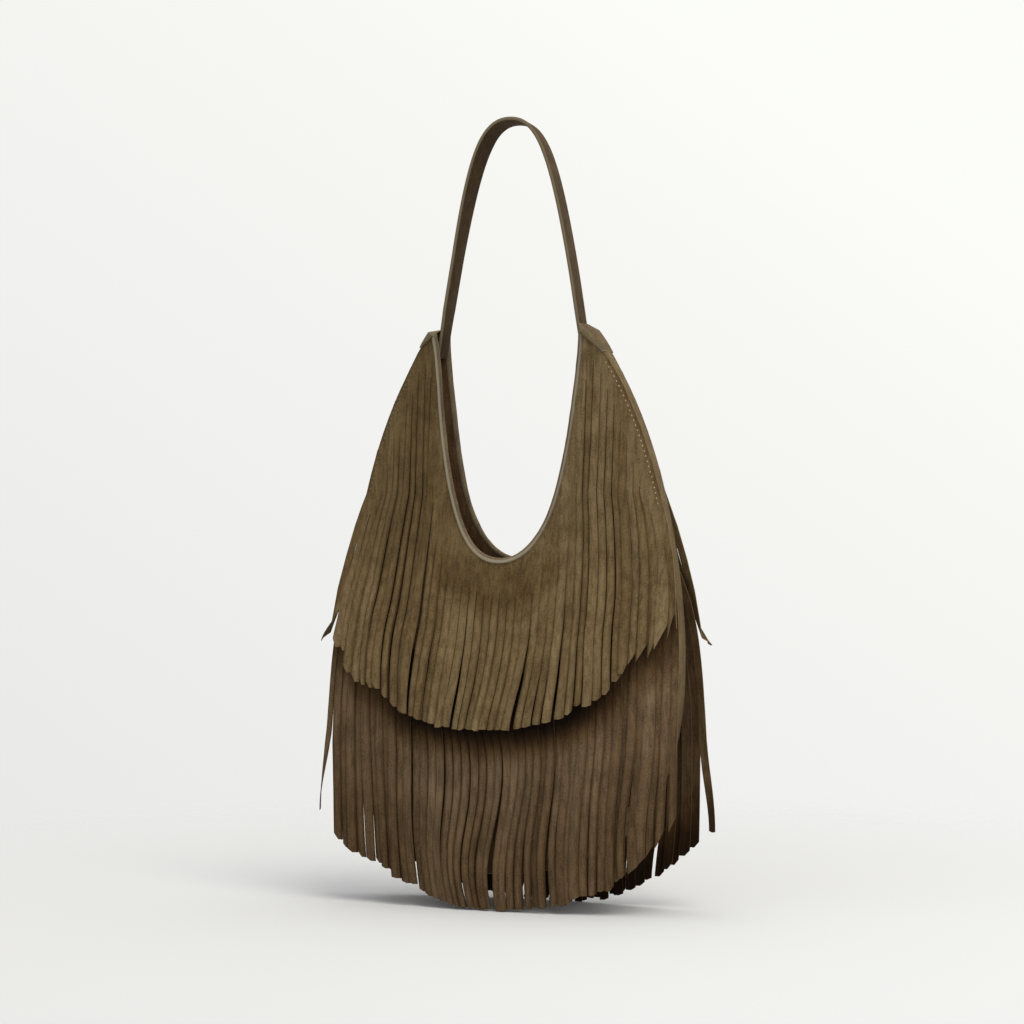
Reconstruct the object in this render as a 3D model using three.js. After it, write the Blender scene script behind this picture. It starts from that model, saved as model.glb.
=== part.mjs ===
// A fringed suede shoulder bag: a soft pouch with a deep scooped mouth, two peaks joined by one arched strap,
// and two tiers of cut suede fringe on the front and on the back.
// Millimetres, +Z up, +X to the right of someone who faces the front, front towards -Y.
// The origin is on the standing surface, midway between the hems of the front and the back fringe.
import * as THREE from "three";

// Body
const PEAK_HEIGHT = 487; // standing surface to the tips of the peaks
const BASE_HEIGHT = 30; // standing surface to the underside of the pouch
const MOUTH_DROP = 193; // how far the mouth dips below the peaks
const PEAK_SPACING = 133; // clear width of the mouth between the peaks
const PEAK_TIP = 4.5; // width of each peak at its tip
const POUCH_WIDTH = 298; // widest part of the pouch, over the side seams
const WIDEST_HEIGHT = 225; // standing surface to that widest part
const PEAK_DEPTH = 27; // front panel to back panel at the peaks
const PEAK_TAPER = 80; // drop from the peaks over which the sides draw in to their narrow depth
const SIDE_DEPTH = 9; // front panel to back panel along the side seams
const ARM_DEPTH = 28.6; // front panel to back panel where the arms on both sides of the mouth are fullest
const BASE_DEPTH = 66; // front panel to back panel at the base
const PANEL_BELLY = 18; // how far each panel swells out of the line from the arms to the base
const BELLY_START = 55; // how far above the mouth's bottom that swelling begins
const SUEDE = 1.6; // thickness of the body suede
const SEAM_GAP = 0.3; // clearance where two pieces are sewn edge to face

// Fringe
const FRINGE_SUEDE = 1.5; // thickness of the fringe suede
const FRINGE_SEAT = 0.7; // clearance between a panel and the fringe sewn on it
const FRINGE_HANG = 1.6; // how much further the strands stand off at their tips
const HANG_START = 60; // drop over which the fringe lies close to the panel
const HANG_FULL = 150; // drop at which its strands stand off fully
const TIER_LAP = 34; // height over which the upper tier lifts over the seam of the lower tier
const SLIT_WIDTH = 1; // gap between two strands
const UPPER_SIDE_INSET = 14; // the upper tier's side strands start this far inside the widest part
const LOWER_SIDE_INSET = 3; // the lower tier's side strands start this far inside it
const UPPER_STRANDS = 43; // strands in each upper tier
const UPPER_YOKE = 24; // uncut suede above the slits of the upper tier
const UPPER_HEM_HEIGHT = 148; // lowest tip of the upper tier
const UPPER_HEM_RISE = 86; // how much higher its outermost tips are
const UPPER_FLARE = 26; // how far its outermost strands splay
const UPPER_FLARE_DROP = 70; // drop in which they do two thirds of that
const LOWER_STRANDS = 45; // strands in each lower tier
const LOWER_YOKE = 8; // uncut suede above the slits of the lower tier
const LOWER_SEAM_HEIGHT = 196; // seam of the lower tier at the middle
const LOWER_SEAM_RISE = 90; // how much higher that seam is at the sides
const LOWER_HEM_FLAT = 60; // half width of the level part of the lower hem
const LOWER_HEM_RISE = 52; // how much higher its outermost tips are
const LOWER_FLARE = 14; // how far its outermost strands splay
const LOWER_FLARE_DROP = 40; // drop in which they do two thirds of that
const STRAND_SWAY = 2.4; // sideways wave of the strand tips
const SWAY_LENGTH = 30; // drop along a strand over which that wave turns by a radian
const SWAY_SPREAD = 38; // distance across the row over which it turns by a radian
const STRAND_LIFT = 2.2; // how far single strands stand out of the row
const TIP_SLANT = 3; // slant of the cut at the side tips

// Trim and strap
const BINDING_HEIGHT = 3.6; // how far the rim binding laps down each face
const BINDING_WALL = 1; // thickness of the binding
const FOLD_SLACK = 0.8; // room between the folded binding and the edges and faces inside it
const STRAP_WIDTH = 22;
const STRAP_END_WIDTH = 16; // the strap narrows to this where it ends inside the peaks
const STRAP_TAPER = 20; // height above the peaks at which it starts to narrow
const STRAP_THICKNESS = 3.2;
const STRAP_TOP_HEIGHT = 667.5; // standing surface to the middle of the strap at its crown
const STRAP_TAIL = 22; // length of strap that runs on inside each peak
const TAB_LENGTH = 30; // length of the tab down each side seam
const TAB_NECK = 12; // length of the tab's neck up the strap
const TAB_LIP = 7; // how far the tab laps onto the front and the back
const TAB_WALL = 1.4;

const bag = new THREE.Group();

// Suede, in the olive brown of the body, the warmer brown of the strap and the grey of a painted cut edge.
function suede(color) {
  return new THREE.MeshStandardMaterial({ color, roughness: 0.95, metalness: 0 });
}

function addPiece(name, geometry, color) {
  geometry.computeVertexNormals();
  const piece = new THREE.Mesh(geometry, suede(color));
  piece.name = name;
  bag.add(piece);
}

const smoothRise = (value, from, to) => THREE.MathUtils.smoothstep(value, from, to);

// Outlines, seen from the front, right half only

// How the outlines curve: each is the reach of a curve's handle as a share of the curve's width or height.
const MOUTH_NARROWING = 0.86;
const MOUTH_SHOULDER = 0.45;
const MOUTH_FULLNESS = 0.77;
const FLANK_SPREAD = 0.5;
const FLANK_SHOULDER = 0.16;
const FLANK_HIP = 0.56;
const FLANK_SWELL = 2; // how far the flank's lower handle lies outside the widest part
const CORNER_DROP = 0.73;
const BASE_FULLNESS = 0.56;
const ARCH_CROWN = 0.44;
const ARCH_SHOULDER = 0.63;
const ARCH_SHOULDER_DROP = 0.19;

const mouthBottom = PEAK_HEIGHT - MOUTH_DROP;
const mouthHalf = PEAK_SPACING / 2;
const peakOuter = mouthHalf + PEAK_TIP;
const pouchHalf = POUCH_WIDTH / 2;

// The mouth falls steeply from the peak and turns through a round bottom. inset moves it into the suede.
function mouthCurve(inset) {
  return new THREE.CubicBezierCurve(
    new THREE.Vector2(mouthHalf + inset, PEAK_HEIGHT),
    new THREE.Vector2(MOUTH_NARROWING * mouthHalf + inset, PEAK_HEIGHT - MOUTH_SHOULDER * MOUTH_DROP),
    new THREE.Vector2(MOUTH_FULLNESS * mouthHalf, mouthBottom - inset),
    new THREE.Vector2(0, mouthBottom - inset),
  );
}
const mouthLine = mouthCurve(0);

// The side seam spreads from the peak to the widest part of the pouch, then turns under to the base.
const flankReach = pouchHalf - peakOuter;
const flankDrop = PEAK_HEIGHT - WIDEST_HEIGHT;
const flankLine = new THREE.CubicBezierCurve(
  new THREE.Vector2(peakOuter, PEAK_HEIGHT),
  new THREE.Vector2(peakOuter + FLANK_SPREAD * flankReach, PEAK_HEIGHT - FLANK_SHOULDER * flankDrop),
  new THREE.Vector2(pouchHalf + FLANK_SWELL, PEAK_HEIGHT - FLANK_HIP * flankDrop),
  new THREE.Vector2(pouchHalf, WIDEST_HEIGHT),
);
const bottomDrop = WIDEST_HEIGHT - BASE_HEIGHT;
const bottomLine = new THREE.CubicBezierCurve(
  new THREE.Vector2(pouchHalf, WIDEST_HEIGHT),
  new THREE.Vector2(pouchHalf - FLANK_SWELL, WIDEST_HEIGHT - CORNER_DROP * bottomDrop),
  new THREE.Vector2(BASE_FULLNESS * pouchHalf, BASE_HEIGHT),
  new THREE.Vector2(0, BASE_HEIGHT),
);
const seamLine = new THREE.CurvePath();
seamLine.add(flankLine);
seamLine.add(bottomLine);

// A point on either outline. along runs from -1 at the left peak through 0 at the bottom to 1 at the right.
function onOutline(line, along) {
  const point = line.getPointAt(1 - Math.abs(along));
  return new THREE.Vector2(along < 0 ? -point.x : point.x, point.y);
}

// The height at which an outline that only spreads passes a given distance from the middle.
function heightOn(line, reach, widensUpwards) {
  let low = 0;
  let high = 1;
  for (let step = 0; step < 40; step += 1) {
    const middle = (low + high) / 2;
    const tooWide = line.getPoint(middle).x > reach;
    if (tooWide === widensUpwards) low = middle;
    else high = middle;
  }
  return line.getPoint(low).y;
}

// The height at which the panels start to swell, and where they are fullest.
const bellyTop = mouthBottom + BELLY_START;
const fullestHeight = BASE_HEIGHT + (bellyTop - BASE_HEIGHT) / 3;

// The half width of the bag at any height, as a table read off the seam line from its bottom up.
const seamTable = seamLine.getSpacedPoints(240).reverse();
function halfWidth(z) {
  const above = seamTable.findIndex((point) => point.y >= z);
  if (above < 1) return above < 0 ? peakOuter : pouchHalf;
  const low = seamTable[above - 1];
  const high = seamTable[above];
  return THREE.MathUtils.mapLinear(z, low.y, high.y, low.x, high.x);
}

// Half the depth of the bag at a place on its front. The sides are narrow and widen to the peaks and the
// base. From side to side each panel bows out, most of all in the belly below the mouth.
function halfDepth(x, z) {
  const atSide =
    SIDE_DEPTH +
    (PEAK_DEPTH - SIDE_DEPTH) * Math.max(0, 1 - (PEAK_HEIGHT - z) / PEAK_TAPER) ** 2 +
    (BASE_DEPTH - SIDE_DEPTH) * (1 - smoothRise(z, BASE_HEIGHT, bellyTop));
  const below = THREE.MathUtils.clamp((bellyTop - z) / (bellyTop - BASE_HEIGHT), 0, 1);
  const swell = PANEL_BELLY * Math.sin(Math.PI * below) ** 2;
  const inMiddle = THREE.MathUtils.lerp(ARM_DEPTH, BASE_DEPTH, below ** 1.25) + 2 * swell;
  const bow = Math.max(0, 1 - (x / halfWidth(z)) ** 2);
  return THREE.MathUtils.lerp(atSide, inMiddle, bow) / 2;
}

// Solids

// Turns a solid's faces outwards: the sum of its signed tetrahedra is its volume.
function facingOut(positions, triangles) {
  const corner = (index) => new THREE.Vector3().fromArray(positions, 3 * index);
  let volume = 0;
  for (const [a, b, c] of triangles) {
    volume += corner(a).dot(corner(b).cross(corner(c)));
  }
  const outward = volume < 0 ? triangles.map(([a, b, c]) => [a, c, b]) : triangles;
  return new THREE.BufferGeometry()
    .setAttribute("position", new THREE.Float32BufferAttribute(positions, 3))
    .setIndex(outward.flat());
}

// A sheet with a wall thickness, cut where cellIsSuede says no. outer and inner give its two faces by row
// and column.
function cutSheet(rows, columns, outer, inner, cellIsSuede = () => true) {
  const positions = [];
  const triangles = [];
  const innerStart = (rows + 1) * (columns + 1);
  const at = (row, column) => row * (columns + 1) + column;
  for (const face of [outer, inner]) {
    for (let row = 0; row <= rows; row += 1) {
      for (let column = 0; column <= columns; column += 1) {
        positions.push(...face(row, column).toArray());
      }
    }
  }
  const isSuede = (row, column) =>
    row >= 0 && column >= 0 && row < rows && column < columns && cellIsSuede(row, column);
  const wall = (a, b) => {
    triangles.push([a, b, b + innerStart]);
    triangles.push([a, b + innerStart, a + innerStart]);
  };
  for (let row = 0; row < rows; row += 1) {
    for (let column = 0; column < columns; column += 1) {
      if (!isSuede(row, column)) continue;
      const a = at(row, column);
      const b = at(row, column + 1);
      const c = at(row + 1, column + 1);
      const d = at(row + 1, column);
      triangles.push([a, c, b], [a, d, c]);
      triangles.push([a, b, c].map((index) => index + innerStart));
      triangles.push([a, c, d].map((index) => index + innerStart));
      if (!isSuede(row - 1, column)) wall(a, b);
      if (!isSuede(row, column + 1)) wall(b, c);
      if (!isSuede(row + 1, column)) wall(c, d);
      if (!isSuede(row, column - 1)) wall(d, a);
    }
  }
  return facingOut(positions, triangles);
}

// A closed solid through like rings of points, with flat ends. profile is the ring's shape in its own plane.
function loft(rings, profile) {
  const positions = rings.flat().flatMap((point) => point.toArray());
  const size = profile.length;
  const triangles = [];
  for (let ring = 0; ring + 1 < rings.length; ring += 1) {
    for (let side = 0; side < size; side += 1) {
      const next = (side + 1) % size;
      const a = ring * size + side;
      const b = ring * size + next;
      triangles.push([a, b, b + size], [a, b + size, a + size]);
    }
  }
  const last = (rings.length - 1) * size;
  const turn = THREE.ShapeUtils.area(profile);
  for (const cap of THREE.ShapeUtils.triangulateShape(profile, [])) {
    const capTurn = THREE.ShapeUtils.area(cap.map((index) => profile[index]));
    const [a, b, c] = capTurn * turn > 0 ? cap : [cap[0], cap[2], cap[1]];
    triangles.push([a, c, b], [a + last, b + last, c + last]);
  }
  return facingOut(positions, triangles);
}

// side is -1 on the front of the bag and 1 on its back.
const onSide = (side, x, out, z) => new THREE.Vector3(x, side * out, z);

// Front and back panels: one cut sheet each, from the mouth to the side and base seams

const PANEL_COLUMNS = 38;
const PANEL_ROWS = 7;

function panelPoint(side, row, column, out) {
  const along = -1 + (2 * column) / PANEL_COLUMNS;
  const rim = onOutline(mouthLine, along);
  const seam = onOutline(seamLine, along);
  const place = rim.lerp(seam, row / PANEL_ROWS);
  return onSide(side, place.x, halfDepth(place.x, place.y) + out, place.y);
}

function bodyPanel(side) {
  return cutSheet(
    PANEL_ROWS,
    PANEL_COLUMNS,
    (row, column) => panelPoint(side, row, column, SUEDE / 2),
    (row, column) => panelPoint(side, row, column, -SUEDE / 2),
  );
}

addPiece("front_panel", bodyPanel(-1), 0x544331);
addPiece("back_panel", bodyPanel(1), 0x544331);

// Side gussets and base: three strips sewn between the panels, following the seam line

const BASE_COLUMNS = 4; // columns of each half panel that end on the base

// A place on the seam line and the direction out of the bag there.
function seamPlace(along) {
  const place = onOutline(seamLine, along);
  const before = onOutline(seamLine, Math.max(-1, along - 0.01));
  const run = onOutline(seamLine, Math.min(1, along + 0.01)).sub(before).normalize();
  return { place, out: new THREE.Vector2(run.y, -run.x) };
}

function gussetStrip(from, to, steps) {
  const point = (step, column, inset) => {
    const { place, out } = seamPlace(THREE.MathUtils.lerp(from, to, step / steps));
    const half = halfDepth(place.x, place.y) - SUEDE / 2 - SEAM_GAP;
    place.addScaledVector(out, -inset);
    return new THREE.Vector3(place.x, column === 0 ? -half : half, place.y);
  };
  return cutSheet(
    steps,
    1,
    (step, column) => point(step, column, 0),
    (step, column) => point(step, column, SUEDE),
  );
}

const seamBreak = SEAM_GAP / seamLine.getLength();
const baseShare = (2 * BASE_COLUMNS) / PANEL_COLUMNS;
const gussetSteps = PANEL_COLUMNS / 2 - BASE_COLUMNS;
addPiece("gusset_left", gussetStrip(-1, -baseShare - seamBreak, gussetSteps), 0x4d3d2c);
addPiece("base_panel", gussetStrip(-baseShare, baseShare, 2 * BASE_COLUMNS), 0x4d3d2c);
addPiece("gusset_right", gussetStrip(baseShare + seamBreak, 1, gussetSteps), 0x4d3d2c);

// Fringe: each tier is one sheet of suede, uncut along its seam and slit into strands below

// A repeatable value between -1 and 1 that differs from strand to strand.
const strandNoise = (strand) => Math.sin(12.9898 * strand);

// One tier. reach is its half width at the seam, top and tip give heights from the place across,
// standOff gives how far its middle is from the panel's middle, flare how far the side strands splay.
function fringeTier(side, tier) {
  const { strands, segments, reach, yoke, top, tip, standOff, flare } = tier;
  const pitch = (2 * reach) / strands;
  const edge = (column) => {
    const strand = Math.floor(column / 2);
    const halfStrand = (pitch - SLIT_WIDTH) / 2;
    const middle = -reach + (strand + 0.5) * pitch;
    return { strand, root: column % 2 === 0 ? middle - halfStrand : middle + halfStrand };
  };
  const point = (row, column, out) => {
    const { strand, root } = edge(column);
    const share = root / reach;
    const topHeight = top(Math.abs(root));
    const slitTop = topHeight - yoke;
    const slant = TIP_SLANT * (column % 2 === 0 ? 1 : -1) * smoothRise(Math.abs(share), 0.5, 1);
    const tipHeight = tip(Math.abs(root)) + Math.max(0, slant);
    const fall = Math.max(0, row - 1) / segments;
    const z = row === 0 ? topHeight : THREE.MathUtils.lerp(slitTop, tipHeight, fall);
    const hang = (topHeight - z) / (topHeight - tipHeight);
    const wave = Math.sin(root / SWAY_SPREAD + z / SWAY_LENGTH + side);
    const sway = STRAND_SWAY * (1 - share ** 4) * hang ** 2 * wave;
    const lift = STRAND_LIFT * fall ** 2 * (0.5 + 0.5 * strandNoise(strand));
    const x = root + flare(z) * share * Math.abs(share) + sway;
    return onSide(side, x, standOff(root, z, topHeight) + lift + out, z);
  };
  return cutSheet(
    segments + 1,
    2 * strands - 1,
    (row, column) => point(row, column, FRINGE_SUEDE / 2),
    (row, column) => point(row, column, -FRINGE_SUEDE / 2),
    (row, column) => row === 0 || column % 2 === 0,
  );
}

const fringeSeat = SUEDE / 2 + FRINGE_SEAT + FRINGE_SUEDE / 2;

// Side strands leave the seam at a slant and turn down little by little.
const splay = (reach, drop, turnDrop) => reach * (1 - Math.exp(-Math.max(0, drop) / turnDrop));

// The lower tier is sewn on in a shallow arc and hangs straight down from the fullest part of the panel.
const lowerReach = pouchHalf - LOWER_SIDE_INSET;
const lowerTop = (reach) => LOWER_SEAM_HEIGHT + LOWER_SEAM_RISE * (reach / lowerReach) ** 2;
const lowerTier = {
  strands: LOWER_STRANDS,
  segments: 4,
  reach: lowerReach,
  yoke: LOWER_YOKE,
  top: lowerTop,
  tip: (reach) => {
    const past = Math.max(0, reach - LOWER_HEM_FLAT) / (lowerReach - LOWER_HEM_FLAT);
    return LOWER_HEM_RISE * past ** 1.6;
  },
  standOff: (x, z, top) => {
    const belly = halfDepth(x, Math.max(z, fullestHeight));
    return belly + fringeSeat + FRINGE_HANG * smoothRise(top - z, 0, HANG_START);
  },
  flare: (z) => splay(LOWER_FLARE, lowerTop(lowerReach) - z, LOWER_FLARE_DROP),
};

// The upper tier is sewn into the rim and the side seams, and its strands pass over the lower tier's seam.
const upperReach = pouchHalf - UPPER_SIDE_INSET;
const fringeMouthLine = mouthCurve(FOLD_SLACK);
const sideRootHeight = heightOn(flankLine, upperReach, false);
const upperTier = {
  strands: UPPER_STRANDS,
  segments: 5,
  reach: upperReach,
  yoke: UPPER_YOKE,
  top: (reach) => {
    if (reach < mouthHalf + FOLD_SLACK) return heightOn(fringeMouthLine, reach, true);
    if (reach < peakOuter) return PEAK_HEIGHT;
    return heightOn(flankLine, reach, false);
  },
  tip: (reach) => {
    const share = reach / upperReach;
    return UPPER_HEM_HEIGHT + UPPER_HEM_RISE * share ** 4;
  },
  standOff: (x, z, top) => {
    const lapTop = lowerTop(Math.min(Math.abs(x), lowerReach)) + TIER_LAP;
    const lap = (FRINGE_SUEDE + FRINGE_HANG + SEAM_GAP) * smoothRise(lapTop - z, 0, TIER_LAP);
    const loose = FRINGE_HANG * smoothRise(top - z, HANG_START, HANG_FULL);
    return halfDepth(x, z) + fringeSeat + lap + loose;
  },
  flare: (z) => splay(UPPER_FLARE, sideRootHeight - z, UPPER_FLARE_DROP),
};

addPiece("front_lower_fringe", fringeTier(-1, lowerTier), 0x57462f);
addPiece("back_lower_fringe", fringeTier(1, lowerTier), 0x57462f);
addPiece("front_upper_fringe", fringeTier(-1, upperTier), 0x625138);
addPiece("back_upper_fringe", fringeTier(1, upperTier), 0x625138);

// Rim bindings: a folded strip that straddles the panel and the fringe sewn on it

const stackInner = SUEDE / 2;
const stackOuter = SUEDE / 2 + FRINGE_SEAT + FRINGE_SUEDE;

function rimBinding(side) {
  const steps = 52;
  const lip = STRAP_THICKNESS / mouthLine.getLength();
  const low = -stackInner - SEAM_GAP;
  const high = stackOuter + FOLD_SLACK;
  const profile = [
    new THREE.Vector2(-BINDING_HEIGHT, low),
    new THREE.Vector2(FOLD_SLACK, low),
    new THREE.Vector2(FOLD_SLACK, high),
    new THREE.Vector2(-BINDING_HEIGHT, high),
    new THREE.Vector2(-BINDING_HEIGHT, high + BINDING_WALL),
    new THREE.Vector2(FOLD_SLACK + BINDING_WALL, high + BINDING_WALL),
    new THREE.Vector2(FOLD_SLACK + BINDING_WALL, low - BINDING_WALL),
    new THREE.Vector2(-BINDING_HEIGHT, low - BINDING_WALL),
  ];
  const rings = [];
  for (let step = 0; step <= steps; step += 1) {
    const along = THREE.MathUtils.lerp(-1 + lip, 1 - lip, step / steps);
    const place = onOutline(mouthLine, along);
    const run = onOutline(mouthLine, Math.min(1, along + 0.01))
      .sub(onOutline(mouthLine, Math.max(-1, along - 0.01)))
      .normalize();
    rings.push(
      profile.map(({ x, y }) => {
        const corner = new THREE.Vector2(place.x - run.y * x, place.y + run.x * x);
        return onSide(side, corner.x, halfDepth(corner.x, corner.y) + y, corner.y);
      }),
    );
  }
  return loft(rings, profile);
}

addPiece("front_rim_binding", rimBinding(-1), 0x7c7260);
addPiece("back_rim_binding", rimBinding(1), 0x7c7260);

// Strap: one flat band, its width across the bag, whose tails run on inside the peaks

const strapHalfSpan = mouthHalf - STRAP_THICKNESS;
const archDrop = STRAP_TOP_HEIGHT - PEAK_HEIGHT;
const archSide = new THREE.CubicBezierCurve3(
  new THREE.Vector3(0, 0, STRAP_TOP_HEIGHT),
  new THREE.Vector3(ARCH_CROWN * strapHalfSpan, 0, STRAP_TOP_HEIGHT),
  new THREE.Vector3(ARCH_SHOULDER * strapHalfSpan, 0, STRAP_TOP_HEIGHT - ARCH_SHOULDER_DROP * archDrop),
  new THREE.Vector3(strapHalfSpan, 0, PEAK_HEIGHT),
);

function strapBand() {
  const archPoints = archSide.getSpacedPoints(20);
  const tailRun = archSide.getTangentAt(1);
  const tailPoints = [0.5, 1].map((share) =>
    archSide.getPoint(1).addScaledVector(tailRun, share * STRAP_TAIL),
  );
  const rightHalf = [...archPoints, ...tailPoints];
  const leftHalf = rightHalf.slice(1).map((point) => new THREE.Vector3(-point.x, 0, point.z));
  const path = new THREE.CatmullRomCurve3([...leftHalf.reverse(), ...rightHalf]);
  const round = STRAP_THICKNESS / 4;
  const halfThick = STRAP_THICKNESS / 2;
  const section = (halfWide) => [
    new THREE.Vector2(halfThick, -halfWide + round),
    new THREE.Vector2(halfThick, halfWide - round),
    new THREE.Vector2(halfThick - round, halfWide),
    new THREE.Vector2(-halfThick + round, halfWide),
    new THREE.Vector2(-halfThick, halfWide - round),
    new THREE.Vector2(-halfThick, -halfWide + round),
    new THREE.Vector2(-halfThick + round, -halfWide),
    new THREE.Vector2(halfThick - round, -halfWide),
  ];
  const tailEnd = tailPoints[1].z;
  const steps = 56;
  const rings = [];
  for (let step = 0; step <= steps; step += 1) {
    const place = path.getPointAt(step / steps);
    const run = path.getTangentAt(step / steps);
    const narrowed = 1 - smoothRise(place.z, tailEnd, PEAK_HEIGHT + STRAP_TAPER);
    const width = THREE.MathUtils.lerp(STRAP_WIDTH, STRAP_END_WIDTH, narrowed);
    rings.push(
      section(width / 2).map(
        ({ x, y }) => new THREE.Vector3(place.x - run.z * x, y, place.z + run.x * x),
      ),
    );
  }
  return loft(rings, section(STRAP_END_WIDTH / 2));
}

addPiece("strap", strapBand(), 0x5d4d38);

// Strap tabs: a folded saddle over the outside of each peak. Its neck lies on the strap, and its lips lap
// onto the front and the back and narrow down the side seam.

function strapTab(direction) {
  const steps = 6;
  const rings = [];
  const addRing = (place, out, half, lip) => {
    const profile = [
      new THREE.Vector2(SEAM_GAP, -half),
      new THREE.Vector2(SEAM_GAP, half),
      new THREE.Vector2(-lip, half),
      new THREE.Vector2(-lip, half + TAB_WALL),
      new THREE.Vector2(SEAM_GAP + TAB_WALL, half + TAB_WALL),
      new THREE.Vector2(SEAM_GAP + TAB_WALL, -half - TAB_WALL),
      new THREE.Vector2(-lip, -half - TAB_WALL),
      new THREE.Vector2(-lip, -half),
    ];
    const ring = profile.map(({ x, y }) => {
      const corner = place.clone().addScaledVector(out, x);
      return new THREE.Vector3(direction * corner.x, y, corner.y);
    });
    rings.push(ring);
    return profile;
  };
  const neckAt = 1 - TAB_NECK / archSide.getLength();
  const neckRun = archSide.getTangentAt(neckAt);
  const neckOut = new THREE.Vector2(-neckRun.z, neckRun.x);
  const neckPlace = new THREE.Vector2(archSide.getPointAt(neckAt).x, archSide.getPointAt(neckAt).z);
  neckPlace.addScaledVector(neckOut, STRAP_THICKNESS / 2);
  addRing(neckPlace, neckOut, STRAP_WIDTH / 2 + SEAM_GAP, SEAM_GAP);
  let profile = [];
  for (let step = 0; step <= steps; step += 1) {
    const { place, out } = seamPlace(1 - (TAB_LENGTH * step) / (steps * seamLine.getLength()));
    const lip = THREE.MathUtils.lerp(TAB_LIP, TAB_WALL, step / steps);
    const half = halfDepth(place.x - lip, place.y) + stackOuter + FOLD_SLACK + BINDING_WALL + SEAM_GAP;
    profile = addRing(place, out, half, lip);
  }
  return loft(rings, profile);
}

addPiece("strap_tab_left", strapTab(-1), 0x5d4d38);
addPiece("strap_tab_right", strapTab(1), 0x5d4d38);

export default bag;
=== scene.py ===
"""A fringed suede shoulder bag on a pale floor. Lengths in the shape functions are millimetres, as
in the CAD frame: +Z up, +X to the right of someone who faces the front, front towards -Y."""

import math

import bpy
import numpy as np
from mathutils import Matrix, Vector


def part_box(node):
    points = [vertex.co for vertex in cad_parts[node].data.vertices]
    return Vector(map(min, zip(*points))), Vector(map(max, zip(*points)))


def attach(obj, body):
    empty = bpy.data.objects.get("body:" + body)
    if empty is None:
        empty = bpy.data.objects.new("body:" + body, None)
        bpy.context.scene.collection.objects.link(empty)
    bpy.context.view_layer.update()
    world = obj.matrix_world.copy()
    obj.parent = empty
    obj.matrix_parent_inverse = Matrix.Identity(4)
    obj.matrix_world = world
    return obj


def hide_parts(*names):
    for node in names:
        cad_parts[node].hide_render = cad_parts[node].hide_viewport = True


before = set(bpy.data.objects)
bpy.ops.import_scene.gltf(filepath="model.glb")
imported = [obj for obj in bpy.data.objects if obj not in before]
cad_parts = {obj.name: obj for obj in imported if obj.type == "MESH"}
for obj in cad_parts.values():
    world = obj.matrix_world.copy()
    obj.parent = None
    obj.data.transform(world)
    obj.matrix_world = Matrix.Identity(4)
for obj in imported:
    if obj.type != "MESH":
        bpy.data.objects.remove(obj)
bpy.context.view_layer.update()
MM = 0.001


# Stage: a level camera a little to the right of the front, a soft sun from the right front and a
# wider one overhead, an even pale sky, a matt white floor that fades out before the horizon, and a
# paper backdrop shaded as in the photo. PICTURE_WIDTH is what the picture spans at the bag.
VIEW_TURN = math.radians(23)
VIEW_HEIGHT = 334
VIEW_DISTANCE = 2600
VIEW_SHIFT = -1.7
PICTURE_WIDTH = 870.4
SENSOR = 36


def linear(code):
    """The linear RGBA of an sRGB hex colour."""
    srgb = np.array([int(code[i : i + 2], 16) for i in (0, 2, 4)]) / 255
    low, high = srgb / 12.92, ((srgb + 0.055) / 1.055) ** 2.4
    return (*np.where(srgb <= 0.04045, low, high).tolist(), 1.0)


def add(tree, kind, inputs=None, stops=(), **settings):
    """A new shader node: settings go on the node, inputs are values or the outputs to link, and
    stops are a colour ramp's places, each with its sRGB hex."""
    made = tree.nodes.new(kind)
    for key, value in settings.items():
        setattr(made, key, value)
    for key, value in (inputs or {}).items():
        if isinstance(value, bpy.types.NodeSocket):
            tree.links.new(value, made.inputs[key])
        else:
            made.inputs[key].default_value = value
    if stops:
        marks = made.color_ramp.elements
        while len(marks) < len(stops):
            marks.new(0.5)
        for mark, (share, code) in zip(marks, stops):
            mark.position, mark.color = share, linear(code)
    return made


def new_material(name):
    """An empty material and its node tree."""
    made = bpy.data.materials.new(name)
    made.use_nodes = True
    made.node_tree.nodes.clear()
    return made, made.node_tree


def place(name, corners, faces, material):
    """A mesh object from corners in millimetres and a list of faces."""
    mesh = bpy.data.meshes.new(name)
    mesh.from_pydata((np.asarray(corners) * MM).tolist(), [], faces)
    mesh.materials.append(material)
    made = bpy.data.objects.new(name, mesh)
    bpy.context.scene.collection.objects.link(made)
    return made


right = np.array([math.cos(VIEW_TURN), math.sin(VIEW_TURN), 0])
ahead = np.array([-math.sin(VIEW_TURN), math.cos(VIEW_TURN), 0])
camera = bpy.data.objects.new("camera", bpy.data.cameras.new("camera"))
camera.location = (VIEW_SHIFT * right - VIEW_DISTANCE * ahead + [0, 0, VIEW_HEIGHT]) * MM
camera.rotation_euler = (math.pi / 2, 0, VIEW_TURN)
camera.data.sensor_width = SENSOR
camera.data.lens = SENSOR * VIEW_DISTANCE / PICTURE_WIDTH
bpy.context.scene.collection.objects.link(camera)
bpy.context.scene.camera = camera
bpy.context.scene.view_settings.view_transform = "Standard"

sky = bpy.data.worlds.new("sky")
sky.use_nodes = True
sky_tree = sky.node_tree
sky_tree.nodes.clear()
seen = add(sky_tree, "ShaderNodeLightPath").outputs["Is Camera Ray"]
sky_light = add(sky_tree, "ShaderNodeBackground", {"Color": linear("fdfdff"), "Strength": 0.66})
sky_look = add(sky_tree, "ShaderNodeBackground", {"Color": linear("f3f3f1"), "Strength": 1.0})
sky_mix = add(
    sky_tree,
    "ShaderNodeMixShader",
    {0: seen, 1: sky_light.outputs[0], 2: sky_look.outputs[0]},
)
add(sky_tree, "ShaderNodeOutputWorld", {"Surface": sky_mix.outputs[0]})
bpy.context.scene.world = sky

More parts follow.
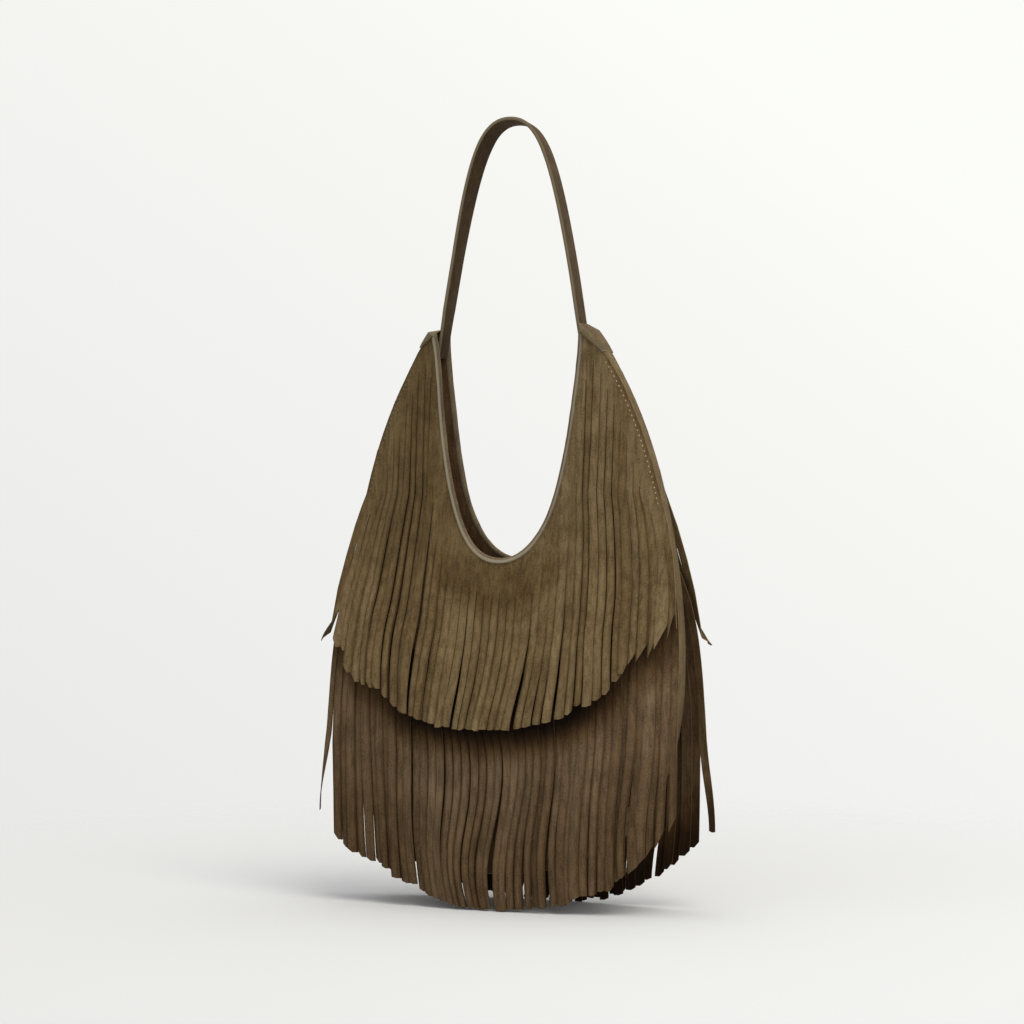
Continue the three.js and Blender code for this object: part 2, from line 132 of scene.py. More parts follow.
sun = bpy.data.objects.new("sun", bpy.data.lights.new("sun", "SUN"))
sun.data.energy = 1.35
sun.data.angle = math.radians(32)
sun.data.color = linear("fffaf2")[:3]
sun.rotation_euler = (math.radians(33), 0, math.radians(52))
bpy.context.scene.collection.objects.link(sun)

# a second, wide sun overhead, a little behind the bag, keeps the contact shadow under the fringe
overhead = bpy.data.objects.new("overhead", bpy.data.lights.new("overhead", "SUN"))
overhead.data.energy = 1.5
overhead.data.angle = math.radians(50)
overhead.rotation_euler = (math.radians(-10), 0, 0)
bpy.context.scene.collection.objects.link(overhead)

# matt floor, a disc of 1.4 m radius that fades out between 0.4 m and 1.15 m from the bag
paper, tree = new_material("matt white paper floor")
spot = add(tree, "ShaderNodeTexCoord").outputs["Object"]
reach = add(tree, "ShaderNodeVectorMath", {0: spot}, operation="LENGTH").outputs["Value"]
fade = add(
    tree,
    "ShaderNodeMapRange",
    {"Value": reach, "From Min": 0.4, "From Max": 1.15, "To Min": 0.0, "To Max": 1.0},
    interpolation_type="SMOOTHSTEP",
)
# the floor's colour is a little darker on the left than on the right: painted shading
across = add(tree, "ShaderNodeSeparateXYZ", {0: spot}).outputs["X"]
across = add(tree, "ShaderNodeMapRange", {"Value": across, "From Min": -0.5, "From Max": 0.5})
tint = add(
    tree,
    "ShaderNodeValToRGB",
    {"Fac": across.outputs[0]},
    stops=[(0.0, "c7c8c7"), (0.5, "cacbca"), (1.0, "d2d3d2")],
)
matt = add(tree, "ShaderNodeBsdfDiffuse", {"Color": tint.outputs["Color"], "Roughness": 0.6})
clear = add(tree, "ShaderNodeBsdfTransparent")
mixed = add(
    tree, "ShaderNodeMixShader", {0: fade.outputs[0], 1: matt.outputs[0], 2: clear.outputs[0]}
)
add(tree, "ShaderNodeOutputMaterial", {"Surface": mixed.outputs[0]})
FLOOR_RADIUS, FLOOR_SIDES, FLOOR_LEVEL = 1400, 96, -0.2
turns = np.linspace(0, 2 * np.pi, FLOOR_SIDES, endpoint=False)
rim = np.stack([np.cos(turns), np.sin(turns), np.full(FLOOR_SIDES, FLOOR_LEVEL / FLOOR_RADIUS)], 1)
floor = place("floor", FLOOR_RADIUS * rim, [list(range(FLOOR_SIDES))], paper)

# backdrop: glowing paper with its shading painted in, palest at the upper right, 3.2 m behind the
# bag
board, tree = new_material("paper backdrop")
spot = add(tree, "ShaderNodeTexCoord").outputs["Object"]
slope = add(
    tree, "ShaderNodeVectorMath", {0: spot, 1: (0.42, 0.42, 0.8)}, operation="DOT_PRODUCT"
)
slope = add(
    tree, "ShaderNodeMapRange", {"Value": slope.outputs["Value"], "From Min": 0.0, "From Max": 1.9}
)
shade = add(
    tree,
    "ShaderNodeValToRGB",
    {"Fac": slope.outputs[0]},
    stops=[(0.0, "e9e9e7"), (0.45, "f1f1ef"), (0.75, "f6f6f3"), (1.0, "fcfdf8")],
)
glow = add(tree, "ShaderNodeEmission", {"Color": shade.outputs["Color"]})
add(tree, "ShaderNodeOutputMaterial", {"Surface": glow.outputs[0]})
corners = [
    3200 * ahead + side * 2400 * right + [0, 0, height]
    for side, height in ((-1, -1600), (1, -1600), (1, 2600), (-1, 2600))
]
backdrop = place("backdrop", corners, [[0, 1, 2, 3]], board)
backdrop.visible_shadow = backdrop.visible_diffuse = backdrop.visible_glossy = False
backdrop.visible_transmission = False


# Body panels: front and back of the pouch, each cut from one piece of dark brown suede, with the
# deep U-shaped mouth between two tall arms. They are sewn to the side strips and the base strip.
def bezier(points, shares):
    """Points of a cubic curve: the four handles weighted by the cubic Bernstein shares."""
    t = np.asarray(shares)[..., None]
    p = np.asarray(points, float)
    near, far = 3 * (1 - t) ** 2 * t, 3 * (1 - t) * t**2
    return (1 - t) ** 3 * p[0] + near * p[1] + far * p[2] + t**3 * p[3]


def spread(path, shares):
    """Places on a table of points, by share of its length."""
    run = np.r_[0, np.cumsum(np.linalg.norm(np.diff(path, axis=0), axis=1))]
    at = np.asarray(shares) * run[-1]
    return np.stack([np.interp(at, run, path[:, axis]) for axis in range(path.shape[1])], -1)


def rise(value, start, end):
    """A smooth step from 0 to 1: 3 t squared minus 2 t cubed."""
    t = np.clip((value - start) / (end - start), 0, 1)
    return t * t * (3 - 2 * t)


panel_low, panel_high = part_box("front_panel")
PEAK = panel_high.z / MM
BASE = panel_low.z / MM
POUCH = panel_high.x / MM
# half widths of the peak's two corners, the heights of the mouth's low point and of the widest
# place, and the thickness of the hide
PEAK_IN, PEAK_OUT = 66.5, 71
MOUTH = PEAK - 193
WIDEST = 225
SUEDE = 1.6
shares = np.linspace(0, 1, 400)
mouth_path = bezier([(PEAK_IN, PEAK), (57.2, 400.15), (51.2, MOUTH), (0, MOUTH)], shares)
flank_path = bezier([(PEAK_OUT, PEAK), (110, 445.1), (151, 340.3), (POUCH, WIDEST)], shares)
under_path = bezier([(POUCH, WIDEST), (147, 82.7), (83.4, BASE), (0, BASE)], shares)
seam_path = np.concatenate([flank_path, under_path[1:]])


def half_width(z):
    """Half the width of the pouch at a height, read off the seam line."""
    return np.interp(z, seam_path[::-1, 1], seam_path[::-1, 0], left=POUCH, right=PEAK_OUT)


def half_depth(x, z):
    """Half the depth of the bag: from a narrow side seam each panel bows out as one minus the
    square of the place across, with a belly of sine squared below the mouth. The seam's depth
    opens by a square over the top 45 mm, for the strap, and by a smooth step towards the base."""
    belly_top = MOUTH + 55
    below = np.clip((belly_top - z) / (belly_top - BASE), 0, 1)
    seam, at_peak, at_base, peak_reach = 9, 18, 57, 45
    opened = np.maximum(0, 1 - (PEAK - z) / peak_reach) ** 2
    side = seam + at_peak * opened + at_base * (1 - rise(z, BASE, belly_top))
    arms, deeper, belly = 28.6, 37.4, 36
    middle = arms + deeper * below**1.25 + belly * np.sin(np.pi * below) ** 2
    bow = np.maximum(0, 1 - (x / np.maximum(half_width(z), 1)) ** 2)
    return (side + (middle - side) * bow) / 2


def lean(points):
    """Points shifted left as the soft bag leans: half a millimetre from the peaks down, and 3 mm
    more in the middle, from there less by the square towards the side seams and by a step to the
    floor."""
    x, z = points[..., 0], points[..., 2]
    near = 1 - np.minimum(1, np.abs(x) / np.maximum(half_width(z), 1)) ** 2
    overall, centre = 0.5, 3
    shift = centre * near * rise(PEAK - z, 0, 190) * rise(z, 0, 240)
    shift = overall * rise(PEAK + 60 - z, 0, 60) + shift
    return points - np.stack([shift, 0 * x, 0 * x], -1)


def sheet(name, side, outer, inner, kept, material, tones=1.0, inner_tones=None):
    """A closed sheet: outer and inner faces as grids of points in rows and columns, cells only
    where kept is true, walls on every open edge. The faces' attribute cut marks those walls; the
    points' attribute tone may differ between the outer and the inner face."""
    rows, columns = outer.shape[:2]
    step = rows * columns
    index = np.arange(step).reshape(rows, columns)
    edge = np.pad(kept, 1)
    a, b, c, d = index[:-1, :-1], index[:-1, 1:], index[1:, 1:], index[1:, :-1]
    faces = [np.stack([a, d, c, b], -1)[kept], np.stack([a, b, c, d], -1)[kept] + step]
    sides = ((a, b, (0, 1)), (b, c, (1, 2)), (c, d, (2, 1)), (d, a, (1, 0)))
    for start, end, (row, column) in sides:
        open_edge = kept & ~edge[row : row + rows - 1, column : column + columns - 1]
        faces.append(np.stack([start, end, end + step, start + step], -1)[open_edge])
    cut = np.repeat([0.0, 1.0], [len(faces[0]) + len(faces[1]), sum(map(len, faces[2:]))])
    quads = np.concatenate(faces)
    if side > 0:
        quads = quads[:, ::-1]
    points = lean(np.concatenate([outer.reshape(-1, 3), inner.reshape(-1, 3)]))
    made = place(name, points, quads.tolist(), material)
    made.data.attributes.new("cut", "FLOAT", "FACE").data.foreach_set("value", cut)
    inner_tones = tones if inner_tones is None else inner_tones
    tones = [np.broadcast_to(part, (rows, columns)).ravel() for part in (tones, inner_tones)]
    made.data.attributes.new("tone", "FLOAT", "POINT").data.foreach_set(
        "value", np.concatenate(tones)
    )
    made.data.shade_smooth()
    made.data.set_sharp_from_angle(angle=math.radians(40))
    return made


def suede(name, deep, pale, edge, nap=1.0):
    """Napped suede: blotches of brushed nap between two colours, streaks along the hang, a fine
    grain with its bump, and the raw colour of the split hide where cut is set. The attribute tone,
    which carries random differences as well as painted shade and light, lightens or darkens it,
    blue more than red, so that shaded nap is also warmer. The blotches are about 26 mm across. The
    streaks are 2.4 mm and the grain 1.2 mm, both coarser than real nap, which is too fine to show."""
    made, tree = new_material(name)
    spot = add(tree, "ShaderNodeTexCoord").outputs["Object"]
    blotch = add(
        tree,
        "ShaderNodeTexNoise",
        {"Vector": spot, "Scale": 38.0, "Detail": 3.0, "Roughness": 0.6, "Distortion": 0.6},
    ).outputs["Fac"]
    flat = add(tree, "ShaderNodeMapping", {"Vector": spot, "Scale": (1.0, 1.0, 0.12)}).outputs[0]
    streak = add(
        tree, "ShaderNodeTexNoise", {"Vector": flat, "Scale": 420.0, "Detail": 2.0}
    ).outputs["Fac"]
    grain = add(
        tree, "ShaderNodeTexNoise", {"Vector": spot, "Scale": 850.0, "Detail": 2.0}
    ).outputs["Fac"]
    blend = add(tree, "ShaderNodeMath", {0: blotch, 1: streak}, operation="ADD").outputs[0]
    blend = add(tree, "ShaderNodeMath", {0: blend, 1: grain}, operation="ADD").outputs[0]
    blend = add(
        tree,
        "ShaderNodeMapRange",
        {"Value": blend, "From Min": 1.21, "From Max": 1.79, "To Min": 0.0, "To Max": 1.0},
    ).outputs[0]
    nap_stops = [(0.0, deep), (1.0, pale)]
    colour = add(tree, "ShaderNodeValToRGB", {"Fac": blend}, stops=nap_stops).outputs["Color"]
    cut = add(tree, "ShaderNodeAttribute", attribute_name="cut").outputs["Fac"]
    colour = add(
        tree,
        "ShaderNodeMix",
        {"Factor": cut, "A": colour, "B": linear(edge)},
        data_type="RGBA",
    )
    tone = add(tree, "ShaderNodeAttribute", attribute_name="tone").outputs["Fac"]
    green, blue = (
        add(tree, "ShaderNodeMath", {0: tone, 1: power}, operation="POWER").outputs[0]
        for power in (1.2, 1.6)
    )
    tones = add(tree, "ShaderNodeCombineXYZ", {"X": tone, "Y": green, "Z": blue}).outputs[0]
    lifted = add(
        tree,
        "ShaderNodeVectorMath",
        {0: colour.outputs["Result"], 1: tones},
        operation="MULTIPLY",
    )
    bump = add(
        tree, "ShaderNodeBump", {"Height": blend, "Strength": 0.5 * nap, "Distance": 0.0004}
    )
    skin = add(
        tree,
        "ShaderNodeBsdfPrincipled",
        {
            "Base Color": lifted.outputs[0],
            "Roughness": 0.93,
            "Specular IOR Level": 0.15,
            "Sheen Weight": 0.22,
            "Sheen Roughness": 0.5,
            "Sheen Tint": linear(pale),
            "Normal": bump.outputs[0],
        },
    )
    add(tree, "ShaderNodeOutputMaterial", {"Surface": skin.outputs[0]})
    return made


# dark brown body suede, the flesh side inwards: dull, with hardly any light on its short nap
body_suede = suede("body suede", "46321e", "664d33", "6f5940")
PANEL_ROWS, PANEL_COLUMNS = 42, 152
for side, node_name in ((-1, "front_panel"), (1, "back_panel")):
    along = np.linspace(-1, 1, PANEL_COLUMNS + 1)
    mouth_edge = spread(mouth_path, 1 - np.abs(along)) * np.stack([np.sign(along), along**0], 1)
    seam_edge = spread(seam_path, 1 - np.abs(along)) * np.stack([np.sign(along), along**0], 1)
    down = np.linspace(0, 1, PANEL_ROWS + 1)[:, None, None]
    flat = mouth_edge + (seam_edge - mouth_edge) * down
    depth = half_depth(flat[..., 0], flat[..., 1])
    outer, inner = (
        np.stack([flat[..., 0], side * (depth + off), flat[..., 1]], -1)
        for off in (SUEDE / 2, -SUEDE / 2)
    )
    kept = np.ones((PANEL_ROWS, PANEL_COLUMNS), bool)
    panel = sheet(node_name + "_suede", side, outer, inner, kept, body_suede)
    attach(panel, "root")
    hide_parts(node_name)


# Side gussets and base: three narrow strips of suede, sewn between the panels along the side seams
# and under the pouch. The turned edges of the side strips show, in the colour of the fringe beside
# them. Each strip runs between two shares of the seam line, -1 at the left peak and 1 at the right.
strip_suede = suede("side strip suede", "584730", "79684a", "86745a")
# the turned edges reach 2.8 mm past the panels' middles, and the strips are 13 points wide
TURNED, STRIP_POINTS = 2.8, 13
for node_name, start, end, steps in (
    ("gusset_left", -1, -4.03 / 19, 60),
    ("base_panel", -4 / 19, 4 / 19, 40),
    ("gusset_right", 4.03 / 19, 1, 60),
):
    along = np.linspace(start, end, steps + 1)
    seam = spread(seam_path, 1 - np.abs(along)) * np.stack([np.sign(along), along**0], 1)
    run = np.gradient(seam, axis=0)
    run /= np.linalg.norm(run, axis=1, keepdims=True)
    outward = np.stack([run[:, 1], -run[:, 0]], 1)
    across = np.linspace(-1, 1, STRIP_POINTS)
    half = half_depth(seam[:, 0], seam[:, 1]) + TURNED
    # the strip is pressed flat by its seams and bulges a little past the panels' edges
    bulge = 0.3 + 0.8 * (1 - across**4)
    faces = []
    for share in (1, 0.2):
        sunk = seam[:, None, :] + outward[:, None, :] * (share * bulge - 0.2)[:, None]
        width = half[:, None] * across * (1 if share == 1 else 0.985)
        faces.append(np.stack([sunk[..., 0], width, sunk[..., 1]], -1))
    kept = np.ones((steps, STRIP_POINTS - 1), bool)
    strip = sheet(node_name + "_suede", 1, *faces, kept, strip_suede)
    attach(strip, "root")
    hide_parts(node_name)


# Fringe: olive brown suede 1.5 mm thick, each tier one sheet sewn along its top and slit into
# strands by hand, so the strands differ in length, width, lean, twist and lie. The side strands
# splay and end in slanted tips.
FRINGE = 1.5
# the distance of the fringe's middle from that of the panel below it, and a closed slit's width
SEAT, KERF = 2.25, 0.2
# the rows of cells down a strand, and where the rows of points lie on the yoke above it
STRAND_ROWS = 44
YOKE_SHARES = np.array([0, 0.1, 0.25, 0.5, 0.75, 1])
# brushed nap shows as soft blotches, and the cut edges of the strands are paler
olive_suede = suede("olive fringe suede", "5b4a30", "7d6b4b", "86745a")
# the lower tier's suede is a darker copy of the upper one's: the upper tier's shade painted in
dark_olive_suede = suede("shaded fringe suede", "4f3e2a", "6f5a41", "78644c")


def noise(count, spacing, seed):
    """Values from -1 to 1 along a row: random knots every few places, joined by straight lines."""
    knots = np.random.default_rng(seed).uniform(-1, 1, count // spacing + 3)
    return np.interp(np.arange(count) / spacing, np.arange(len(knots)), knots)


def fringe(name, side, tier, seed, material):
    """One tier as a comb. Columns follow the strands, five points across each; rows run from the
    seam through the yoke to the slits' starts and on to the tips. Below its slit a strand sways
    and drifts with its neighbours, leans, twists about its own middle and lifts off the row, all
    growing with the drop."""
    count, reach = tier["strands"], tier["reach"]
    random = np.random.default_rng(seed)
    # slits: a little closer together towards the sides, starting up to 3 mm higher or lower
    even = np.linspace(-1, 1, count + 1)
    slit_at = reach * (even + 0.04 * np.sin(np.pi * even))
    middle = (slit_at[1:] + slit_at[:-1]) / 2
    pitch = np.diff(slit_at)[:, None]
    side_share = middle / reach
    outness = np.abs(side_share)
    mirrored = -side * side_share
    crosswise = np.array([-1, -0.62, 0, 0.62, 1])
    root = middle[:, None] + (pitch - KERF) / 2 * crosswise
    top = tier["top"](np.abs(root))
    slit = tier["slit"](slit_at) + random.uniform(-3, 3, count + 1)
    slit = slit[:-1, None] + (slit[1:] - slit[:-1])[:, None] * (crosswise + 1) / 2
    slit = np.minimum(slit, top - 4)
    # tips: at the row's right end a cut slants over the whole strand, elsewhere over a corner
    slant = np.sign(side_share) * tier["slant"] * outness**2.2
    slant = slant * (1 + 1.4 * rise(mirrored, 0.75, 0.85) - rise(-mirrored, 0.93, 0.97))
    slant = (slant + random.uniform(-0.9, 0.9, count))[:, None] * crosswise
    splay = side_share * outness * tier["splay"](mirrored)
    end = middle + tier["flare"](tier["low"]) * splay - side * tier["drift"](mirrored, 1)
    tip = tier["tip"](-side * end, side)[:, None]
    tip = tip + random.uniform(0, 1, count)[:, None] ** 2 * tier["uneven"](np.abs(end))[:, None]
    whole = (mirrored > 0.8)[:, None]
    tip = tip + slant + np.where(whole, np.abs(slant).max(1, keepdims=True), np.abs(slant))
    # rows: fall is the share of a strand's length, drop is in mm, hang is a share with the yoke
    yoke = YOKE_SHARES[:, None, None]
    fall = (np.linspace(0, 1, STRAND_ROWS + 1)[1:] ** 0.93)[:, None, None]
    z = np.concatenate([top + (slit - top) * yoke, slit + (tip - slit) * fall])
    fall = np.concatenate([0 * yoke, fall])
    drop = np.maximum(0, slit.mean(1) - z.mean(2))[..., None]
    hang = drop / (tier["top"](np.abs(middle)) - tip.mean(1))[:, None]
    # sideways: long and short waves that neighbours share, the tier's drift, and a lean of its own
    wave = np.sin(middle[:, None] / 38 + z / 31 + side)
    fine = np.sin(middle[:, None] / 15 + z / 17 + 2 * side)
    sway = (1 - side_share[:, None] ** 4) * hang**1.5 * (tier["sway"] * wave + 0.9 * fine)
    drift = -side * tier["drift"](mirrored[:, None], fall)
    bunch = 1.7 * noise(count, 3, seed + 1) + tier["cross"] * random.uniform(-1, 1, count)
    bunch = bunch * (1 - 0.5 * side_share**6)
    lean_out = bunch[:, None] * np.minimum(hang * 1.6, 1.3) ** 1.4
    # the outermost strand on the left hangs free: its end swings out of the row and turns edge on
    stray = rise(-mirrored, 0.95, 0.97)[:, None] * rise(fall, 0.62, 1)
    ends = 2.8 * noise(count, 4, seed + 9)[:, None] * (1 - side_share[:, None] ** 4)
    lean_out = lean_out + ends * rise(fall, 0.5, 1.05) ** 1.5 + side * 7 * stray
    splay = splay[:, None]
    # turned about its own middle, and outwards: layers, the curl of the cut sheet, bent ends
    twist = np.radians(22 * noise(count, 1, seed + 2) + 8 * noise(count, 5, seed + 3))
    twist = twist[:, None] * fall * np.sin(1 + 2.4 * fall + noise(count, 1, seed + 5)[:, None])
    twist = twist + math.radians(58) * stray
    layer = 1.5 * (np.arange(count) % 2) + 2.4 * random.uniform(0, 1, count) ** 1.5
    layer = layer[:, None] * np.minimum(1, drop / 90) ** 1.2
    curl = 0.75 * rise(drop, 0, 14) * (0.55 + 0.45 * noise(count, 1, seed + 4))[:, None]
    bend = tier["kick"](mirrored[:, None]) * rise(fall, 0.55, 1.1) ** 1.3
    # width: strands part more towards the tips, and are wider where the flare spreads the row
    gap = (tier["gap"] * random.uniform(0, 1, count) ** 2)[:, None]
    gap = gap * (tier["open"] + (1 - tier["open"]) * rise(fall, 0.1, 1))
    spreading = 1 + 2.5 * tier["flare"](z) * outness[:, None] / reach
    half = (pitch - KERF - gap) / 2 * spreading
    # the side strands fan over each other, but not the outermost
    fanned = rise(outness, *tier["fan"]) * (1 - 1.2 * rise(outness, 0.94, 0.97))
    half = half * (1 + 0.42 * fanned[:, None] * rise(fall, 0.05, 0.5))
    x = middle[:, None] + tier["flare"](z) * splay + sway + drift + lean_out
    x = x + half * crosswise * np.cos(twist)
    out = tier["stand_off"](root, z, top) + layer + bend + half * crosswise * np.sin(twist)
    out = out + curl * (1 - crosswise**2) + half * np.abs(np.sin(twist))
    outer, inner = (
        np.stack([x, side * (out + off), z], -1).reshape(len(z), -1, 3)
        for off in (FRINGE / 2, -FRINGE / 2)
    )
    rows, columns = outer.shape[0] - 1, outer.shape[1] - 1
    kept = np.ones((rows, columns), bool)
    kept[len(YOKE_SHARES) - 1 :, 4::5] = False
    # strands differ in tone at random; painted shade darkens their edges towards the hollows
    # between them, and the tips are a little paler
    tone = 1 + 0.11 * noise(count, 1, seed + 6) + 0.06 * noise(count, 6, seed + 7)
    shade = (0.1 + 0.62 * random.uniform(0, 1, count)[:, None] ** 1.4) * (0.7 + 0.5 * fall)
    tone = tone[:, None] * (1 - shade * np.abs(crosswise) ** 3 * rise(drop, 0, 12))
    tone = tone * (1 + 0.07 * rise(fall, 0.75, 1)) * tier["tone"](x * -side, z, drop)
    # the top two rows of points are darker: painted shade along the seam, under the rim roll or the
    # upper tier
    tone[0], tone[1] = 0.6 * tone[0], 0.85 * tone[1]
    tones = [
        np.broadcast_to(part, z.shape).reshape(len(z), -1) for part in (tone, tier["under"](fall))
    ]
    made = sheet(name, side, outer, inner, kept, material, *tones)
    return made


def clear_of(path, x, z):
    """The distance from each place to the nearest point of an outline."""
    away = np.hypot(np.abs(x)[..., None] - path[:, 0], z[..., None] - path[:, 1])
    return away.min(-1)


def upper_top(x):
    """The height of the upper tier's edge: rim inside the peak, side seam outside it."""
    inset = bezier([(67.3, PEAK), (58, 400.15), (51.2, MOUTH - 0.8), (0, MOUTH - 0.8)], shares)
    rim_height = np.interp(x, inset[::-1, 0], inset[::-1, 1])
    flank_height = np.interp(x, flank_path[:, 0], flank_path[:, 1])
    return np.where(x < 67.3, rim_height, np.where(x < PEAK_OUT, PEAK, flank_height))


def upper_slit(x):
    """Where the slits start: the first place down from the edge that leaves the yoke its width."""
    z = np.linspace(0, 1, 160)[:, None] * 150
    z = upper_top(np.abs(x)) - z
    low = np.clip((PEAK - z) / (PEAK - MOUTH), 0, 1)
    room = (clear_of(mouth_path, x + 0 * z, z) > 8 + 20 * low**2) & (
        clear_of(flank_path, x + 0 * z, z) > 8 + 6 * np.minimum(1, (PEAK - z) / 80)
    )
    first = np.where(room.any(0), room.argmax(0), 50)
    return np.take_along_axis(z, first[None], 0)[0]


def upper_hem(x, side):
    """The upper tips' heights from left to right: an arc, lowest left of the middle, higher at the
    sides."""
    across = [-170, -144, -133, -117, -101, -88, -71, -46, -17, 24, 51, 64, 85, 106, 123, 145, 153]
    heights = [226, 214, 188, 186, 177, 165, 160, 153, 151, 152, 158, 162, 171, 185, 206, 216, 231]
    return np.interp(x, across, heights)


def lower_hem(x, side):
    """The lower tips' heights from left to right: on the floor in the middle, higher at the sides;
    on the back the left side hangs lower."""
    across = [-174, -160, -151, -122, -93, -63, -38, 10, 60, 98, 127, 148, 162]
    front = [80, 78, 50, 34, 26, 11, 3, 0, 7, 19, 36, 58, 80]
    back = [80, 64, 48, 28, 12, 2, 0, 0, 7, 19, 36, 58, 80]
    return np.interp(x, across, front if side < 0 else back)


def upper_tone(x, z, drop):
    """Darker on the uncut yoke and on the left arm, paler on the right arm."""
    arm = rise(z, MOUTH - 50, MOUTH + 40)
    yoke = (1 - rise(drop, 0, 30)) * (1 - arm)
    return 0.94 * (1 - 0.45 * yoke) * (1 + arm * (0.22 * rise(x, -20, 60) - 0.17))


def lower_painted_shading(x, z, drop):
    """Painted shade, deep under the middle of the upper hem and less at the sides; below it painted
    light, palest just under the shade and less towards the tips; a little darker at the left and
    right."""
    below = upper_hem(x, -1) - z
    middle = 1.3 - 0.2 * rise(-x, 40, 110) - 0.1 * rise(x, 60, 120)
    kept = 0.04 + 0.4 * rise(np.abs(x), 70, 130)
    return (kept + (0.94 - kept) * rise(below, 0, 36)) * (middle - 0.3 * rise(below, 45, 130))


def lower_top(x):
    """The lower tier's seam: a shallow arc, higher at the sides."""
    return 196 + 90 * (x / LOWER_REACH) ** 2


def upper_stand_off(x, z, top):
    """Half depth of the panel, the seat on it, the lap over the lower seam, and the loose hang."""
    lap_top = lower_top(np.minimum(np.abs(x), LOWER_REACH)) + 34
    lap = 3.4 * rise(lap_top - z, 0, 34)
    return half_depth(x, z) + SEAT + lap + 1.6 * rise(top - z, 60, 150)


def lower_stand_off(x, z, top):
    """Half depth down to the fullest part of the panel, and straight down from there."""
    fullest = BASE + (MOUTH + 55 - BASE) / 3
    return half_depth(x, np.maximum(z, fullest)) + SEAT + 1.6 * rise(top - z, 0, 60)


def upper_drift(share, fall):
    """The upper strands' ends swing to the left, most a little left of the middle, and hardly at
    the sides: a bell curve across."""
    return -12 * np.exp(-(((share + 0.1) / 0.5) ** 2)) * rise(fall, 0.4, 1.2) ** 1.2


def lower_drift(share, fall):
    """The lower strands wander right and then left in the middle, by one sine wave down, and draw
    inwards between the middle and both ends."""
    inwards = -24 * share * (1 - share**2) * rise(fall, 0.35, 1.1)
    wander = 7 * np.exp(-((share / 0.4) ** 2)) * np.sin(2 * np.pi * fall**1.3) * rise(fall, 0, 0.3)
    return inwards + wander


# What sets a tier, in mm: the number of strands and the row's half width; by x the heights of its
# top, slits and tips; low, a hem's height for the flare; the unequal length and the slant of the
# tips; the waves; the gap beside a tip, and the share of it that is open at the slit; the shares of
# the row between which strands fan out; the tone outside, on the lower tier painted shade and
# light, and the painted shade under it on the inner side; how far single strands lean across, the
# row drifts to the right and the ends kick out; the distance of the row from the bag's middle
# plane; how far it widens, and how much more at one end. Left and right are as one faces the row.
UPPER_REACH = POUCH - 14
LOWER_REACH = POUCH - 3
upper_root = upper_top(np.array([UPPER_REACH]))[0]
upper_tier = {
    "strands": 43,
    "reach": UPPER_REACH,
    "top": upper_top,
    "slit": upper_slit,
    "tip": upper_hem,
    "low": 170,
    "tone": upper_tone,
    "uneven": lambda x: 1.2 + 6 * np.exp(-(((x - 92) / 24) ** 2)),
    "slant": 5.0,
    "sway": 2.4,
    "gap": 1.8,
    "open": 0.5,
    "fan": (0.72, 0.9),
    # the inner face in even painted shade
    "under": lambda fall: 0.75 + 0 * fall,
    "cross": 0.8,
    "drift": upper_drift,
    "kick": lambda share: 7.5 - 4 * np.abs(share) ** 3,
    "stand_off": upper_stand_off,
    "flare": lambda z: 26 * (1 - np.exp(-np.maximum(0, upper_root - z) / 70)),
    "splay": lambda share: 1 + 0.25 * rise(-share, 0.7, 1),
}
lower_tier = {
    "strands": 45,
    "reach": LOWER_REACH,
    "top": lower_top,
    "slit": lambda x: lower_top(x) - 8,
    "tip": lower_hem,
    "low": 40,
    "tone": lower_painted_shading,
    "uneven": lambda x: 1.5 + 4 * x / 150,
    "slant": 3.0,
    "sway": 4.2,
    "gap": 2.0,
    "open": 0.15,
    "fan": (0.35, 0.75),
    # the inner face in painted shade, darkest towards the tips
    "under": lambda fall: 0.8 - 0.65 * rise(fall, 0.72, 0.97),
    "cross": 1.6,
    "drift": lower_drift,
    "kick": lambda share: 0 * share,
    "stand_off": lower_stand_off,
    "flare": lambda z: 14 * (1 - np.exp(-np.maximum(0, lower_top(LOWER_REACH) - z) / 40)),
    "splay": lambda share: 1 + 0.3 * rise(-share, 0.6, 1),
}
for side, face in ((-1, "front"), (1, "back")):
    for tier_name, tier, material, seed in (
        ("lower", lower_tier, dark_olive_suede, 40),
        ("upper", upper_tier, olive_suede, 60),
    ):
        node_name = f"{face}_{tier_name}_fringe"
        comb = fringe(node_name + "_strands", side, tier, seed + side, material)
        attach(comb, "root")
        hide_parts(node_name)


# Rim bindings: a strip of smoother grey olive suede rolled over the mouth's edge, with a pale ridge
# along its crest, partly edge paint and partly a painted highlight. One on the front, one on the
# back, sewn through panel and fringe.
def loft(name, rings, material, ridge=None):
    """A closed solid through like rings of points. ridge marks each ring's points from 0 to 1."""
    count, size = rings.shape[:2]
    index = np.arange(count * size).reshape(count, size)
    following = np.roll(index, -1, axis=1)
    quads = np.stack([index[:-1], following[:-1], following[1:], index[1:]], -1).reshape(-1, 4)
    faces = quads.tolist() + [index[0][::-1].tolist(), index[-1].tolist()]
    made = place(name, lean(rings.reshape(-1, 3)), faces, material)
    marks = np.zeros((count, size)) if ridge is None else np.broadcast_to(ridge, (count, size))
    made.data.attributes.new("ridge", "FLOAT", "POINT").data.foreach_set("value", marks.ravel())
    made.data.attributes.new("tone", "FLOAT", "POINT").data.foreach_set(
        "value", np.ones(count * size)
    )
    made.data.shade_smooth()
    return made


def rounded(half_wide, half_thick, radius, steps=5):
    """A rounded rectangle, anticlockwise: each corner a quarter circle."""
    points = []
    for quarter, (sx, sy) in enumerate(((1, 1), (-1, 1), (-1, -1), (1, -1))):
        for turn in np.linspace(0, np.pi / 2, steps):
            angle = turn + quarter * np.pi / 2
            points.append(
                (
                    sx * (half_wide - radius) + radius * math.cos(angle),
                    sy * (half_thick - radius) + radius * math.sin(angle),
                )
            )
    return np.array(points)


